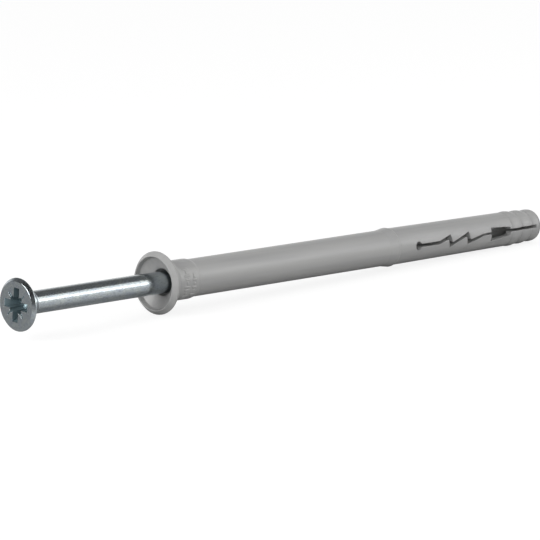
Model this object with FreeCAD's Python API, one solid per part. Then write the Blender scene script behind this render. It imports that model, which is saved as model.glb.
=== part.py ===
import FreeCAD, Part
import os
from math import acos, atan, cos, sin, sqrt, tan, pi

# A hammer fixing plug, lying as it is shown: the axis runs along X, from the nail's head at -X to the
# sleeve's closed tip at +X. The origin is on the axis, in the front edge of the sleeve's collar.
# All sizes are in millimetres.

# Sleeve: the whole of it
SLEEVE_LENGTH = 120.55
SLEEVE_RADIUS = 4.0
BORE_CLEARANCE = 0.06          # radial room that the nail's shank runs in
SEAM_TURN = 22.0               # degrees, turns the faces' seam away from the line that the plug lies on

# Sleeve: the collar, bevelled in front, and its dish
COLLAR_RADIUS = 6.68
COLLAR_BEVEL_LENGTH = 0.95     # from the front edge back to the rim
COLLAR_EDGE_WIDTH = 0.26       # of the ring in the front edge
COLLAR_RIM = 0.25              # length of the collar's widest band along the axis
COLLAR_EDGE_ROUNDING = 0.15
COLLAR_RIM_ROUNDING = 0.3
FLARE_LENGTH = 2.9             # from the rim back to the neck
FLARE_ROUNDING = 1.6
MOUTH_CLEARANCE = 0.13         # radial room round the nail's head
MOUTH_DRAFT = 0.18             # the dish's wall narrows by this down to its foot
MOUTH_LIP_ROUNDING = 0.12
MOUTH_DEPTH = 1.05             # of the dish's wall
MOUTH_FOOT_ROUNDING = 0.25
DISH_FALL = 1.5                # from the foot of the wall to the throat, along the axis
THROAT_EXTRA = 0.44            # the throat is this much wider than the bore, in radius
THROAT_ROUNDING = 0.5          # where the dish runs into the throat
THROAT_LENGTH = 1.6
LEAD_IN_LENGTH = 1.2           # from the throat down to the bore

# Sleeve: the thicker neck behind the collar
NECK_EXTRA = 0.27
NECK_END = 9.25
NECK_END_ROUNDING = 1.5
NECK_RUNOUT = 0.85
NECK_FOOT_ROUNDING = 0.15

# Sleeve: the raised ring that grips the mouth of the drilled hole, placed from the tip
RING_FROM_TIP = 49.4
RING_HEIGHT = 0.37
RING_RAMP = 2.6
RING_RAMP_ROUNDING = 0.9
RING_FALL = 0.6
RING_EDGE_ROUNDING = 0.12

# Sleeve: the slotted zone, which narrows towards the tip
ZONE_ROOT_EXTRA = 0.13
ZONE_END_EXTRA = -0.10

# Sleeve: three rounded barbs, each with a groove before it
BARB_COUNT = 3
BARBS_FROM_TIP = 10.8
BARB_PITCH = 3.72
BARB_RISE_LENGTH = 1.75
BARB_HEIGHT = 0.19
BARB_SHRINK = 0.16             # each barb is this much smaller than the one before
BARB_ROUNDING = 4.0
GROOVE_FALL = 0.25             # from the edge down to the groove's foot, along the axis
GROOVE_RISE = 0.6
GROOVE_DEPTH = 0.2
GROOVE_ROUNDING = 0.12

# Sleeve: the closed tip
TIP_FACE_RADIUS = 3.43
TIP_ROUNDING = 1.25
TIP_FLOOR = 2.6                # solid plastic past the end of the bore
DRILL_POINT_ANGLE = 118.0      # the bore ends in a cone of this angle

# Slot through both walls of the zone, cut along Y and placed from the tip
KEYHOLE_FROM_TIP = 42.8
KEYHOLE_RADIUS = 0.98
SLOT_GAP = 0.74                # of the straight slot
TOOTH_GAP = 0.78               # of the slopes, measured across the plug
SLOT_ROUNDING = 0.12
LIP_ROUNDING = 0.35            # of the teeth that stand out from either lip
TEETH_FROM_TIP = 35.8          # where the straight slot turns into the first tooth
TOOTH_FIRST_RUN = 3.4
TOOTH_PITCH = 6.15
TOOTH_COUNT = 2
TOOTH_TOP = 0.97               # height of a tooth's peak above the axis, on the slot's middle line
TOOTH_FOOT = -0.93
TOOTH_STEEP_RUN = 0.5
TOOTH_LIP_SHIFT = 0.86         # one lip is moved by this along the axis against the other
SLIT_FROM_TIP = 20.5           # where the last slope ends and the thin slit begins
SLIT_GAP = 0.5
SLIT_END_GAP = 0.72            # the slit widens to this at the tip
SLIT_LIFT = 0.25               # the slit's middle lies this far above the axis
SLIT_END_WALL = 2.05
WINDOW_FROM_TIP = 18.15
WINDOW_LENGTH = 6.8
WINDOW_TOP = 1.57              # above the axis, at the window's end towards the head
WINDOW_FOOT = -1.6
WINDOW_END_TOP = 1.07          # above the axis, at the window's end towards the tip
WINDOW_END_FOOT = -0.85
WINDOW_ROUNDING = 0.45
WINDOW_FOOT_ROUNDING = 0.7

# Nail: how far it stands out, and how far it can be driven
NAIL_STANDOUT = 37.9
NAIL_LENGTH = 115.0
NAIL_SHANK_RADIUS = 2.35
NAIL_THREAD_RADIUS = 2.3       # outer size of the lower part, which carries the fine thread
NAIL_THREAD_LENGTH = 35.0      # from the tip, with the point
NAIL_THREAD_RUNOUT = 0.5
NAIL_POINT_LENGTH = 4.6
NAIL_POINT_ROUNDING = 0.35

# Nail: the countersunk head
HEAD_RADIUS = 5.47
HEAD_FACE_RADIUS = 4.87
HEAD_EDGE_LENGTH = 0.62        # bevel from the face out to the rim
HEAD_RIM_LENGTH = 0.2
HEAD_EDGE_ROUNDING = 0.2
COUNTERSINK_ANGLE = 90.0       # of the head's underside
UNDERHEAD_ROUNDING = 0.8
SEAT_GAP = 0.15                # left between the head and the throat when the nail is driven home

# Nail: the cross recess, size 3, with a thin tick between each two wings
RECESS_TURN = 5.0              # degrees about +X
RECESS_SPAN = 7.05
RECESS_DEPTH = 3.0
RECESS_FOOT_SPAN = 4.2
WING_WIDTH = 1.65
WING_FOOT_WIDTH = 1.05
CORE_RADIUS = 1.75
CORE_FOOT_RADIUS = 1.0
CORE_POINT = 0.55
STAR_SPAN = 4.3
STAR_FOOT_SPAN = 2.6
STAR_WIDTH = 0.95
TICK_INNER_RADIUS = 2.0
TICK_OUTER_RADIUS = 3.25
TICK_WIDTH = 0.42

AXIS = FreeCAD.Vector(1, 0, 0)
CENTRE = FreeCAD.Vector(0, 0, 0)

# What follows from the sizes above
BORE_RADIUS = NAIL_SHANK_RADIUS + BORE_CLEARANCE
MOUTH_RADIUS = HEAD_RADIUS + MOUTH_CLEARANCE
MOUTH_FOOT_RADIUS = MOUTH_RADIUS - MOUTH_DRAFT
THROAT = MOUTH_DEPTH + DISH_FALL
THROAT_RADIUS = BORE_RADIUS + THROAT_EXTRA
COUNTERSINK = COUNTERSINK_ANGLE * pi / 360
HEAD_CONE_START = HEAD_EDGE_LENGTH + HEAD_RIM_LENGTH
HEAD_CONE_LENGTH = (HEAD_RADIUS - NAIL_SHANK_RADIUS) / tan(COUNTERSINK)
NAIL_FACE = -NAIL_STANDOUT
NAIL_TIP = NAIL_FACE + NAIL_LENGTH

# Where the head's cone meets the rounded throat, which ends the nail's way
DISH_ANGLE = atan((MOUTH_FOOT_RADIUS - THROAT_RADIUS) / DISH_FALL)
SEAT = THROAT + THROAT_ROUNDING * (tan(DISH_ANGLE / 2) - sin(COUNTERSINK))
SEAT_RADIUS = THROAT_RADIUS + THROAT_ROUNDING * (1 - cos(COUNTERSINK))
HOME_CONE_START = SEAT - (HEAD_RADIUS - SEAT_RADIUS) / tan(COUNTERSINK) - SEAT_GAP
NAIL_TRAVEL = HOME_CONE_START - (NAIL_FACE + HEAD_CONE_START)


def rounded_outline(corners, place):
    """A closed face through corners (a, b, rounding), each rounded. place turns a, b to a point."""
    flat = [FreeCAD.Vector(a, b, 0) for a, b, _ in corners]
    starts, middles, ends = [], [], []
    for i, corner in enumerate(flat):
        rounding = corners[i][2]
        back = (flat[i - 1] - corner).normalize()
        ahead = (flat[(i + 1) % len(flat)] - corner).normalize()
        half = acos(max(-1.0, min(1.0, back.dot(ahead)))) / 2
        if not rounding or half > pi / 2 - 1e-6:
            starts.append(corner)
            middles.append(None)
            ends.append(corner)
            continue
        reach = rounding / tan(half)
        inward = (back + ahead).normalize()
        starts.append(corner + back * reach)
        middles.append(corner + inward * (rounding / sin(half) - rounding))
        ends.append(corner + ahead * reach)
    edges = []
    for i in range(len(flat)):
        if middles[i] is not None:
            edges.append(Part.Arc(*(place(p.x, p.y) for p in (starts[i], middles[i], ends[i]))).toShape())
        after = starts[(i + 1) % len(flat)]
        if (after - ends[i]).Length > 1e-7:
            edges.append(Part.makeLine(place(ends[i].x, ends[i].y), place(after.x, after.y)))
    return Part.Face(Part.Wire(edges))


def turned(corners):
    """A solid turned about the X axis, from its half section as (x, radius, rounding)."""
    section = rounded_outline(corners, lambda x, r: FreeCAD.Vector(x, 0, r))
    solid = section.revolve(CENTRE, AXIS, 360)
    solid.rotate(CENTRE, AXIS, SEAM_TURN)
    return solid


def cut_along_y(corners):
    """A prism through the whole sleeve along Y, from its outline as (x, z, rounding)."""
    face = rounded_outline(corners, lambda x, z: FreeCAD.Vector(x, -COLLAR_RADIUS, z))
    return face.extrude(FreeCAD.Vector(0, 2 * COLLAR_RADIUS, 0))


def sleeve_outside():
    """The sleeve's outer corners, from the collar's front edge to the tip."""
    neck_radius = SLEEVE_RADIUS + NECK_EXTRA
    zone_root = SLEEVE_RADIUS + ZONE_ROOT_EXTRA
    rim_end = COLLAR_BEVEL_LENGTH + COLLAR_RIM
    ring_peak = SLEEVE_LENGTH - RING_FROM_TIP
    corners = [
        (0, MOUTH_RADIUS + COLLAR_EDGE_WIDTH, COLLAR_EDGE_ROUNDING),
        (COLLAR_BEVEL_LENGTH, COLLAR_RADIUS, COLLAR_RIM_ROUNDING),
        (rim_end, COLLAR_RADIUS, COLLAR_RIM_ROUNDING),
        (rim_end + FLARE_LENGTH, neck_radius, FLARE_ROUNDING),
        (NECK_END, neck_radius, NECK_END_ROUNDING),
        (NECK_END + NECK_RUNOUT, SLEEVE_RADIUS, NECK_FOOT_ROUNDING),
        (ring_peak - RING_RAMP, SLEEVE_RADIUS, RING_RAMP_ROUNDING),
        (ring_peak, SLEEVE_RADIUS + RING_HEIGHT, RING_EDGE_ROUNDING),
        (ring_peak + RING_FALL, zone_root, RING_EDGE_ROUNDING),
    ]
    foot = SLEEVE_RADIUS + ZONE_END_EXTRA
    for i in range(BARB_COUNT):
        start = SLEEVE_LENGTH - BARBS_FROM_TIP + i * BARB_PITCH
        corners.append((start - GROOVE_FALL, foot, 0))
        corners.append((start, foot - GROOVE_DEPTH, GROOVE_ROUNDING))
        corners.append((start + GROOVE_RISE, foot, 0))
        corners.append((start + BARB_RISE_LENGTH, foot + BARB_HEIGHT, BARB_ROUNDING))
        foot -= BARB_SHRINK
    corners.append((SLEEVE_LENGTH, TIP_FACE_RADIUS, TIP_ROUNDING))
    return corners


def sleeve_inside():
    """The sleeve's inner corners, from the end of the bore forward to the mouth of the dish."""
    bore_point = SLEEVE_LENGTH - TIP_FLOOR
    bore_end = bore_point - BORE_RADIUS / tan(DRILL_POINT_ANGLE * pi / 360)
    return [
        (bore_point, 0, 0),
        (bore_end, BORE_RADIUS, 0),
        (THROAT + THROAT_LENGTH + LEAD_IN_LENGTH, BORE_RADIUS, 0),
        (THROAT + THROAT_LENGTH, THROAT_RADIUS, 0),
        (THROAT, THROAT_RADIUS, THROAT_ROUNDING),
        (MOUTH_DEPTH, MOUTH_FOOT_RADIUS, MOUTH_FOOT_ROUNDING),
        (0, MOUTH_RADIUS, MOUTH_LIP_ROUNDING),
    ]


def tooth_line():
    """The slot's middle line through its teeth, as (x, z)."""
    start = SLEEVE_LENGTH - TEETH_FROM_TIP
    line = [(start, 0)]
    for i in range(TOOTH_COUNT):
        peak = start + TOOTH_FIRST_RUN + i * TOOTH_PITCH
        line.append((peak, TOOTH_TOP))
        line.append((peak + TOOTH_STEEP_RUN, TOOTH_FOOT))
    return line


def toothed_slot():
    """The keyhole, the straight slot and its sawteeth, up to the thin slit."""
    keyhole_centre = SLEEVE_LENGTH - KEYHOLE_FROM_TIP
    teeth_end = SLEEVE_LENGTH - SLIT_FROM_TIP
    lift = SLOT_GAP / 2
    shift = TOOTH_LIP_SHIFT / 2
    line = tooth_line()
    start = line[0][0]
    rise = shift * (line[1][1] - line[0][1]) / (line[1][0] - start) + TOOTH_GAP / 2
    upper = [(keyhole_centre, lift, 0), (start, lift, LIP_ROUNDING)]
    lower = [(keyhole_centre, -lift, 0), (start, -lift, LIP_ROUNDING)]
    for i, (x, z) in enumerate(line[1:]):
        # peaks first: a peak is a corner of the upper lip and a tooth of the lower one
        roundings = (SLOT_ROUNDING, LIP_ROUNDING)
        upper.append((x + shift, z + rise, roundings[i % 2]))
        lower.append((x - shift, z - rise, roundings[1 - i % 2]))
    upper.append((teeth_end, SLIT_LIFT + SLIT_GAP / 2, 0))
    lower.append((teeth_end, SLIT_LIFT - SLIT_GAP / 2, 0))
    slot = cut_along_y(upper + lower[::-1])
    keyhole = Part.makeCylinder(
        KEYHOLE_RADIUS,
        2 * COLLAR_RADIUS,
        FreeCAD.Vector(keyhole_centre, -COLLAR_RADIUS, 0),
        FreeCAD.Vector(0, 1, 0),
    )
    return slot.fuse(keyhole)


def window_and_slit():
    """The window, which narrows to its rounded end, and the slit through the barbs."""
    window_start = SLEEVE_LENGTH - WINDOW_FROM_TIP
    window_end = window_start + WINDOW_LENGTH
    window = cut_along_y([
        (window_start, WINDOW_FOOT, SLOT_ROUNDING),
        (window_end, WINDOW_END_FOOT, WINDOW_FOOT_ROUNDING),
        (window_end, WINDOW_END_TOP, WINDOW_ROUNDING),
        (window_start, WINDOW_TOP, SLOT_ROUNDING),
    ])
    slit_start = SLEEVE_LENGTH - SLIT_FROM_TIP - SLIT_GAP / 3
    slit_end = SLEEVE_LENGTH - SLIT_END_WALL
    slit = cut_along_y([
        (slit_start, SLIT_LIFT - SLIT_GAP / 2, 0),
        (slit_end, SLIT_LIFT - SLIT_END_GAP / 2, SLIT_GAP / 3),
        (slit_end, SLIT_LIFT + SLIT_END_GAP / 2, SLIT_GAP / 3),
        (slit_start, SLIT_LIFT + SLIT_GAP / 2, 0),
    ])
    return window.fuse(slit)


def plug_sleeve():
    """The moulded sleeve: collar, neck, shank, ring and slotted zone in one piece."""
    body = turned(sleeve_outside() + [(SLEEVE_LENGTH, 0, 0)] + sleeve_inside())
    return body.cut(toothed_slot()).cut(window_and_slit())


def flared_bar(span, width, foot_span, foot_width, turn):
    """A bar across the head, wide at the face and narrower at the recess's foot, turned about X."""
    wires = []
    for depth, length, across in ((0, span, width), (RECESS_DEPTH, foot_span, foot_width)):
        y, z = length / 2, across / 2
        corners = [(y, z), (-y, z), (-y, -z), (y, -z), (y, z)]
        wires.append(Part.makePolygon([FreeCAD.Vector(depth, a, b) for a, b in corners]))
    bar = Part.makeLoft(wires, True)
    bar.rotate(CENTRE, AXIS, turn)
    return bar


def tick(turn):
    """A thin V groove in the head's face, between two wings."""
    side = TICK_WIDTH / sqrt(2)
    groove = Part.makeBox(side, TICK_OUTER_RADIUS - TICK_INNER_RADIUS, side)
    groove.translate(FreeCAD.Vector(-side / 2, TICK_INNER_RADIUS, -side / 2))
    groove.rotate(CENTRE, FreeCAD.Vector(0, 1, 0), 45)
    groove.rotate(CENTRE, AXIS, turn)
    return groove


def cross_recess():
    """The cross recess as one tool, with its mouth in the plane x = 0."""
    tool = Part.makeCone(CORE_RADIUS, CORE_FOOT_RADIUS, RECESS_DEPTH, CENTRE, AXIS)
    foot = FreeCAD.Vector(RECESS_DEPTH, 0, 0)
    tool = tool.fuse(Part.makeCone(CORE_FOOT_RADIUS, 0, CORE_POINT, foot, AXIS))
    for turn in (0, 90):
        tool = tool.fuse(flared_bar(RECESS_SPAN, WING_WIDTH, RECESS_FOOT_SPAN, WING_FOOT_WIDTH, turn))
        tool = tool.fuse(flared_bar(STAR_SPAN, STAR_WIDTH, STAR_FOOT_SPAN, STAR_WIDTH, turn + 45))
    for turn in (45, 135, 225, 315):
        tool = tool.fuse(tick(turn))
    tool.rotate(CENTRE, AXIS, RECESS_TURN)
    tool.translate(FreeCAD.Vector(NAIL_FACE, 0, 0))
    return tool


def nail_screw():
    """The nail screw: countersunk head, smooth shank, the slightly thinner lower part and point."""
    cone_start = NAIL_FACE + HEAD_CONE_START
    thread_start = NAIL_TIP - NAIL_THREAD_LENGTH
    blank = turned([
        (NAIL_FACE, 0, 0),
        (NAIL_FACE, HEAD_FACE_RADIUS, HEAD_EDGE_ROUNDING),
        (NAIL_FACE + HEAD_EDGE_LENGTH, HEAD_RADIUS, HEAD_EDGE_ROUNDING / 2),
        (cone_start, HEAD_RADIUS, HEAD_EDGE_ROUNDING / 2),
        (cone_start + HEAD_CONE_LENGTH, NAIL_SHANK_RADIUS, UNDERHEAD_ROUNDING),
        (thread_start, NAIL_SHANK_RADIUS, 0),
        (thread_start + NAIL_THREAD_RUNOUT, NAIL_THREAD_RADIUS, 0),
        (NAIL_TIP - NAIL_POINT_LENGTH, NAIL_THREAD_RADIUS, 1.0),
        (NAIL_TIP, NAIL_POINT_ROUNDING, NAIL_POINT_ROUNDING / 2),
        (NAIL_TIP, 0, 0),
    ])
    return blank.cut(cross_recess())


def write(name, shape):
    """Write one piece to its own file, after checking that it is one sound solid."""
    assert shape.isValid() and len(shape.Solids) == 1, name
    shape.Solids[0].exportStep("parts/" + name + ".step")
    box = shape.BoundBox
    print(
        name, "volume %.1f mm3," % shape.Volume,
        "x %.2f to %.2f, z %.2f to %.2f" % (box.XMin, box.XMax, box.ZMin, box.ZMax),
    )


os.makedirs("parts", exist_ok=True)
write("plug_sleeve", plug_sleeve())
write("nail_screw", nail_screw())
print("the nail can be driven %.2f mm further" % NAIL_TRAVEL)
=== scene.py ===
"""A hammer fixing plug: a grey nylon sleeve with a zinc-plated nail screw started in it.

Everything is in metres and in the frame of the CAD model: the plug's axis is the X axis, the nail's head is at
-X, the sleeve's closed tip at +X, and the origin lies in the front edge of the sleeve's collar.
"""

from math import cos, pi, radians, sin

import bmesh
import bpy
from mathutils import Matrix, Vector


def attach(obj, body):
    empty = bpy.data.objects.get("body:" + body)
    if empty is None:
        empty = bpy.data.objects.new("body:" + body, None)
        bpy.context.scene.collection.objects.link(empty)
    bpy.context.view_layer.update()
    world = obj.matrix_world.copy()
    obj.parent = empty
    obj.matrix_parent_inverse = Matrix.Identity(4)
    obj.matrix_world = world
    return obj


MM = 0.001

# Places and radii that the CAD model gives
NAIL_FACE = -37.9 * MM
RECESS_REACH = 3.7 * MM                           # a little more than the recess's half span
RECESS_DEPTH = 3.3 * MM
NECK_RADIUS = 4.27 * MM
RIM_PLACE, RIM_RADIUS = 1.08 * MM, 6.68 * MM      # the collar's widest band
BARB_PLACE, BARB_RADIUS = 111.5 * MM, 4.06 * MM   # the first barb's crest

# The small bars round the neck: each row's place along the axis in mm, and its bars as the turn from the top in
# degrees, the length along the axis and the width round the neck in mm
MARK_ROWS = (
    (5.95, ((50, 2.0, 0.62), (60, 0.65, 1.0), (71, 2.0, 0.62), (81, 1.5, 0.62), (92, 0.65, 1.1),
            (103, 2.0, 0.62), (113, 1.5, 0.62), (124, 0.65, 1.1), (135, 2.0, 0.62), (145, 1.5, 0.62))),
    (7.95, ((72, 0.65, 1.1), (84, 1.4, 0.62), (95, 0.75, 0.75), (106, 1.4, 0.62), (118, 0.65, 1.1),
            (130, 1.4, 0.62))),
)
MARK_HEIGHT = 0.15 * MM
MARK_SINK = 0.03 * MM                             # how far each bar's edge lies below the neck's surface
MARK_STEPS = 10

# How the thick passivation in the nail's recess looks
RECESS_ROUGHNESS = 0.3
RECESS_METALLIC = 0.55

# The photograph's camera
CAMERA_PLACE = (-0.493723, -0.523334, 0.116703)
CAMERA_RIGHT = (0.70376, -0.71044, 0)
CAMERA_AHEAD = (0.7017, 0.69511, -0.15636)
CAMERA_LENS, CAMERA_SENSOR = 233.33, 36

# Each lamp's place, the point that it faces, its width and height, its brightness, and whether metal mirrors it
LAMPS = {
    "softbox": ((0.49, -0.39, 0.195), (0.04, 0, 0), 0.5, 0.2, 1.9, True),
    "softbox_upper_edge": ((0.46, -0.31, 0.36), (0.04, 0, 0), 0.5, 0.16, 1.15, True),
    "front_lamp": ((0.05, -0.85, 0.12), (0.05, 0, 0), 0.5, 0.4, 1.2, True),
    "fill_behind_camera": ((-0.78, -0.71, 0.18), (0.03, 0, 0), 0.7, 0.6, 2.4, False),
    "lamp_left": ((-0.54, 0.09, 0.24), (0, 0, 0), 0.3, 0.3, 6.5, True),
}
ROOM_BRIGHTNESS = 0.64
PAPER_GLOW = 0.83
FLOOR_GAP = 0.01 * MM                             # left between the collar's rim and the floor

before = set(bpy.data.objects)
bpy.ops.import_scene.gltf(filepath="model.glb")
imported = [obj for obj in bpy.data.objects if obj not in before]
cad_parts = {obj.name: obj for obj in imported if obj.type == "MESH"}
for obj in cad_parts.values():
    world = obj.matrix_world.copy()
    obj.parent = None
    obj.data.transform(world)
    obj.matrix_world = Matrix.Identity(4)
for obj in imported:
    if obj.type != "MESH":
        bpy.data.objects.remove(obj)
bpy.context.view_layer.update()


def linear(hex_colour):
    """A colour as Blender takes it, from an sRGB hex value."""
    parts = [int(hex_colour[i:i + 2], 16) / 255 for i in (1, 3, 5)]
    return [p / 12.92 if p <= 0.04045 else ((p + 0.055) / 1.055) ** 2.4 for p in parts] + [1.0]


def add(tree, kind, links=None, **settings):
    """Add a node. settings are its properties, or the values of its inputs; links joins its inputs to outputs."""
    node = tree.nodes.new(kind)
    for name, value in settings.items():
        if hasattr(node, name):
            setattr(node, name, value)
        else:
            node.inputs[name.replace("_", " ")].default_value = value
    for name, output in (links or {}).items():
        tree.links.new(output, node.inputs[name])
    return node


def worked_out(tree, operation, *values):
    """What one Math node gives for its values, each an output or a plain number."""
    node = add(tree, "ShaderNodeMath", operation=operation)
    for place, value in zip(node.inputs, values):
        if isinstance(value, (int, float)):
            place.default_value = value
        else:
            tree.links.new(value, place)
    return node.outputs[0]


def noise(tree, size, detail=2.0, roughness=0.5):
    """Noise from 0 to 1 on the object's own coordinates. size is its grain in mm along X, Y and Z."""
    place = add(tree, "ShaderNodeTexCoord")
    scaled = add(tree, "ShaderNodeMapping", {"Vector": place.outputs["Object"]})
    scaled.inputs["Scale"].default_value = [1 / (s * MM) for s in size]
    texture = add(tree, "ShaderNodeTexNoise", {"Vector": scaled.outputs[0]},
                  Scale=1.0, Detail=detail, Roughness=roughness)
    return texture.outputs["Fac"]


def ranged(tree, value, low, high, start=0.3, end=0.7):
    """A value brought from start..end to low..high, with soft ends."""
    node = add(tree, "ShaderNodeMapRange", {"Value": value}, interpolation_type="SMOOTHSTEP")
    for name, number in (("From Min", start), ("From Max", end), ("To Min", low), ("To Max", high)):
        node.inputs[name].default_value = number
    return node.outputs[0]


def blended(tree, value, first, second):
    """A colour between two others, each an sRGB hex value or an output."""
    node = add(tree, "ShaderNodeMix", {0: value}, data_type="RGBA")
    for place, colour in ((node.inputs[6], first), (node.inputs[7], second)):
        if isinstance(colour, str):
            place.default_value = linear(colour)
        else:
            tree.links.new(colour, place)
    return node.outputs[2]


def bumped(tree, height, normal, strength, distance):
    """A normal tilted by a height, whose full range is distance in mm."""
    return add(tree, "ShaderNodeBump", {"Height": height, "Normal": normal},
               Strength=strength, Distance=distance * MM).outputs[0]


def new_material(name):
    material = bpy.data.materials.new(name)
    material.use_nodes = True
    material.node_tree.nodes.clear()
    return material, material.node_tree


def moulded_nylon():
    """Grey polyamide, injection moulded: a satin skin with a fine grain and faint flow streaks along it."""
    material, tree = new_material("moulded_grey_nylon")
    streaks = noise(tree, (30, 1.6, 1.6), 3.0)
    grain = noise(tree, (0.32, 0.32, 0.32), 3.0)
    waves = noise(tree, (5, 2.5, 2.5))
    edges = add(tree, "ShaderNodeBevel", samples=8, Radius=0.16 * MM)
    skin = bumped(tree, waves, edges.outputs[0], 0.35, 0.012)
    shader = add(tree, "ShaderNodeBsdfPrincipled", {
        "Base Color": blended(tree, ranged(tree, streaks, 0, 1), "#9B9B9B", "#A3A3A2"),
        "Roughness": ranged(tree, grain, 0.3, 0.39),
        "Normal": bumped(tree, grain, skin, 0.5, 0.013),
    }, IOR=1.53)
    add(tree, "ShaderNodeOutputMaterial", {"Surface": shader.outputs[0]})
    return material


def inside_recess(tree):
    """1 in the nail's cross recess and 0 elsewhere, by the depth below its face and the distance from its axis."""
    place = add(tree, "ShaderNodeSeparateXYZ", {0: add(tree, "ShaderNodeTexCoord").outputs["Object"]})
    depth = worked_out(tree, "SUBTRACT", place.outputs["X"], NAIL_FACE)
    across = add(tree, "ShaderNodeCombineXYZ", {"Y": place.outputs["Y"], "Z": place.outputs["Z"]})
    radius = add(tree, "ShaderNodeVectorMath", {0: across.outputs[0]}, operation="LENGTH")
    # the recess narrows with its depth, and so does this test
    reach = worked_out(tree, "MULTIPLY_ADD", depth, 0.25, radius.outputs["Value"])
    near_axis = ranged(tree, reach, 1, 0, RECESS_REACH, RECESS_REACH + 0.05 * MM)
    below_face = ranged(tree, depth, 0, 1, 0.03 * MM, 0.12 * MM)
    above_foot = ranged(tree, depth, 1, 0, RECESS_DEPTH, RECESS_DEPTH + 0.1 * MM)
    return worked_out(tree, "MULTIPLY", worked_out(tree, "MULTIPLY", near_axis, below_face), above_foot)


def zinc_plated_steel():
    """Drawn steel wire with a cold-forged head, bright zinc-plated with a fine speckle. Its blue passivation is
    thickest in the recess, which looks duller and darker."""
    material, tree = new_material("zinc_plated_steel")
    clouds = noise(tree, (2.4, 1.0, 1.0), 4.0, 0.65)
    spots = noise(tree, (0.55, 0.35, 0.35), 3.0, 0.6)
    speckle = noise(tree, (0.6, 0.25, 0.25), 2.0, 0.7)
    draw_lines = noise(tree, (7, 0.22, 0.22), 2.5)
    recess = inside_recess(tree)
    edges = add(tree, "ShaderNodeBevel", samples=6, Radius=0.07 * MM)
    skin = bumped(tree, clouds, edges.outputs[0], 0.5, 0.006)
    pits = bumped(tree, speckle, skin, 0.5, 0.02)
    tint = blended(tree, ranged(tree, clouds, 0, 1), "#B6BEC6", "#C7CECC")
    plating = blended(tree, ranged(tree, speckle, 0, 0.5, 0.4, 0.7), tint, "#828B96")
    roughness = add(tree, "ShaderNodeMix", {0: recess, 2: ranged(tree, spots, 0.13, 0.24)}, B=RECESS_ROUGHNESS)
    shader = add(tree, "ShaderNodeBsdfPrincipled", {
        "Base Color": blended(tree, recess, plating, "#788A90"),
        "Roughness": roughness.outputs[0],
        "Metallic": worked_out(tree, "MULTIPLY_ADD", recess, RECESS_METALLIC - 1, 1),
        "Normal": bumped(tree, draw_lines, pits, 0.4, 0.002),
    })
    add(tree, "ShaderNodeOutputMaterial", {"Surface": shader.outputs[0]})
    return material


def white_paper():
    """Paper that the camera sees as white with a soft shadow. For mirrored rays only it carries painted reflection
    and painted shade: it glows white beside the nail, and is painted dim in front of the head and dark behind the
    nail."""
    material, tree = new_material("white_paper")
    path = add(tree, "ShaderNodeLightPath").outputs
    place = add(tree, "ShaderNodeNewGeometry")
    along, across, _ = add(tree, "ShaderNodeSeparateXYZ", {0: place.outputs["Position"]}).outputs
    mirrored = path["Is Glossy Ray"]
    # each range's last two numbers are places on the floor, in metres
    # painted reflection: mirrored rays see the floor glow white beside the nail
    glow_by_plug = worked_out(
        tree, "ADD", ranged(tree, across, 0.42, 0, -0.014, -0.003), ranged(tree, across, 0.5, 0, -0.08, -0.008))
    painted_glow_beside_nail = worked_out(tree, "MULTIPLY", glow_by_plug, ranged(tree, along, 0, 1, -0.06, -0.042))
    painted_dim_before_head = worked_out(tree, "MULTIPLY", mirrored, ranged(tree, along, 1, 0, -0.06, -0.045))
    behind_plug = worked_out(tree, "MULTIPLY", mirrored, ranged(tree, across, 0, 1, 0, 0.008))
    past_head = worked_out(tree, "MULTIPLY", behind_plug, ranged(tree, along, 0, 1, -0.04, -0.03))
    painted_shade_behind_nail = worked_out(tree, "MULTIPLY", past_head, ranged(tree, along, 1, 0, 0.02, 0.04))
    seen_white = worked_out(
        tree, "MAXIMUM", path["Is Camera Ray"], worked_out(tree, "MULTIPLY", mirrored, painted_glow_beside_nail))
    # the paper's grey, with painted shade for mirrored rays: dimmer in front of the head, darker behind the nail
    grey = blended(tree, painted_shade_behind_nail, blended(tree, painted_dim_before_head, "#AAAAAA", "#A0A0A0"), "#787878")
    paper = add(tree, "ShaderNodeBsdfDiffuse", {"Color": grey})
    shaded = add(tree, "ShaderNodeBsdfDiffuse", Color=linear("#808080"))
    glow = add(tree, "ShaderNodeEmission", Strength=PAPER_GLOW)
    white = add(tree, "ShaderNodeAddShader", {0: glow.outputs[0], 1: shaded.outputs[0]})
    mix = add(tree, "ShaderNodeMixShader", {0: seen_white, 1: paper.outputs[0], 2: white.outputs[0]})
    add(tree, "ShaderNodeOutputMaterial", {"Surface": mix.outputs[0]})
    return material


def lay_floor():
    """White paper under the plug, which rests on its collar's rim and its first barb."""
    slope = (RIM_RADIUS - BARB_RADIUS) / (BARB_PLACE - RIM_PLACE)
    mesh = bpy.data.meshes.new("studio_floor")
    corners = [(x, y, slope * (x - RIM_PLACE) - RIM_RADIUS - FLOOR_GAP)
               for x, y in ((-3, -3), (4, -3), (4, 4), (-3, 4))]
    mesh.from_pydata(corners, [], [(0, 1, 2, 3)])
    mesh.materials.append(white_paper())
    floor = bpy.data.objects.new("studio_floor", mesh)
    bpy.context.scene.collection.objects.link(floor)


def show_photo_camera():
    """The camera of the photograph: near the head's end, a little above the plug."""
    data = bpy.data.cameras.new("photo_camera")
    data.sensor_width = CAMERA_SENSOR
    data.lens = CAMERA_LENS
    data.clip_start, data.clip_end = 0.05, 20
    camera = bpy.data.objects.new("photo_camera", data)
    right = Vector(CAMERA_RIGHT).normalized()
    back = -Vector(CAMERA_AHEAD).normalized()
    turn = Matrix((right, back.cross(right), back)).transposed().to_4x4()
    camera.matrix_world = Matrix.Translation(CAMERA_PLACE) @ turn
    bpy.context.scene.collection.objects.link(camera)
    bpy.context.scene.camera = camera


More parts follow.
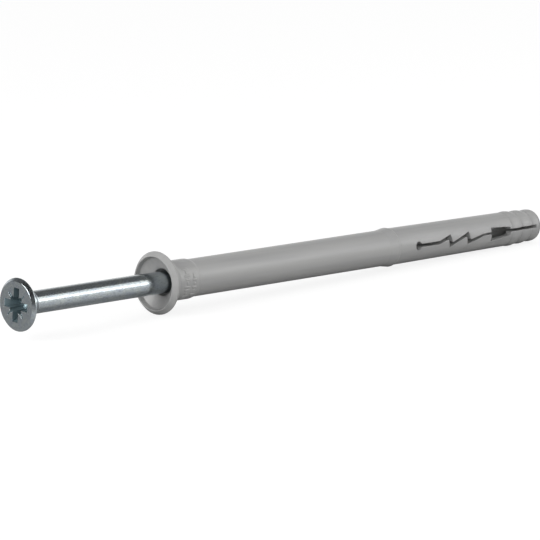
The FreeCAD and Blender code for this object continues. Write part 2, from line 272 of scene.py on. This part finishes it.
def area_lamp(name, place, target, width, height, brightness, mirrored):
    """A softbox that looks as bright as a white surface lit plainly, times brightness."""
    data = bpy.data.lights.new(name, "AREA")
    data.shape = "RECTANGLE"
    data.size, data.size_y = width, height
    data.energy = pi * width * height * brightness
    lamp = bpy.data.objects.new(name, data)
    lamp.location = place
    lamp.rotation_mode = "QUATERNION"
    lamp.rotation_quaternion = (Vector(place) - Vector(target)).to_track_quat("Z", "Y")
    lamp.visible_glossy = mirrored
    bpy.context.scene.collection.objects.link(lamp)


def light_studio():
    """A softbox beyond the tip with a dimmer upper edge, a lamp in front, a fill behind the camera, a lamp on the
    left, and a white room."""
    scene = bpy.context.scene
    scene.view_settings.view_transform = "Standard"
    world = bpy.data.worlds.new("studio")
    scene.world = world
    world.use_nodes = True
    tree = world.node_tree
    tree.nodes.clear()
    path = add(tree, "ShaderNodeLightPath").outputs
    view = add(tree, "ShaderNodeTexCoord")
    side = add(tree, "ShaderNodeSeparateXYZ", {0: view.outputs["Generated"]}).outputs
    # what metal mirrors: bright near the floor, dark overhead and behind the camera
    tone = worked_out(tree, "MULTIPLY", ranged(tree, side["Z"], 0.9, 0.15, 0.25, 0.6),
                      ranged(tree, side["X"], 0.15, 1, -0.6, -0.2))
    room = add(tree, "ShaderNodeBackground", Strength=ROOM_BRIGHTNESS)
    mirrored = add(tree, "ShaderNodeBackground", {"Strength": tone})
    white = add(tree, "ShaderNodeBackground", Strength=1.0)
    for node in (room, mirrored, white):
        node.inputs["Color"].default_value = (1, 1, 1, 1)
    lit = add(tree, "ShaderNodeMixShader", {0: path["Is Glossy Ray"], 1: room.outputs[0], 2: mirrored.outputs[0]})
    seen = add(tree, "ShaderNodeMixShader", {0: path["Is Camera Ray"], 1: lit.outputs[0], 2: white.outputs[0]})
    add(tree, "ShaderNodeOutputWorld", {"Surface": seen.outputs[0]})
    for name, lamp in LAMPS.items():
        area_lamp(name, *lamp)


def neck_marks():
    """Small raised bars in two rows round the sleeve's neck."""
    mesh = bpy.data.meshes.new("neck_marks")
    shape = bmesh.new()
    steps = [2 * i / MARK_STEPS - 1 for i in range(MARK_STEPS + 1)]
    for middle, bars in MARK_ROWS:
        for turn, length, width in bars:
            grid = []
            for a in steps:
                grid.append([])
                for b in steps:
                    dome = (1 - abs(a) ** 3) * (1 - abs(b) ** 3)
                    radius = NECK_RADIUS - MARK_SINK + (MARK_HEIGHT + MARK_SINK) * dome
                    angle = radians(turn) + b * width / 2 * MM / NECK_RADIUS
                    x = middle * MM + a * length / 2 * MM
                    grid[-1].append(shape.verts.new((x, -radius * sin(angle), radius * cos(angle))))
            for i in range(MARK_STEPS):
                for j in range(MARK_STEPS):
                    shape.faces.new((grid[i][j], grid[i][j + 1], grid[i + 1][j + 1], grid[i + 1][j]))
    bmesh.ops.recalc_face_normals(shape, faces=shape.faces)
    shape.to_mesh(mesh)
    shape.free()
    for face in mesh.polygons:
        face.use_smooth = True
    marks = bpy.data.objects.new("neck_marks", mesh)
    bpy.context.scene.collection.objects.link(marks)
    return marks


NYLON, ZINC = moulded_nylon(), zinc_plated_steel()
for name, paint in (("plug_sleeve", NYLON), ("nail_screw", ZINC)):
    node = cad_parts[name]
    node.data.materials.clear()
    node.data.materials.append(paint)
marks = neck_marks()
marks.data.materials.append(NYLON)
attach(marks, "sleeve")
show_photo_camera()
light_studio()
lay_floor()
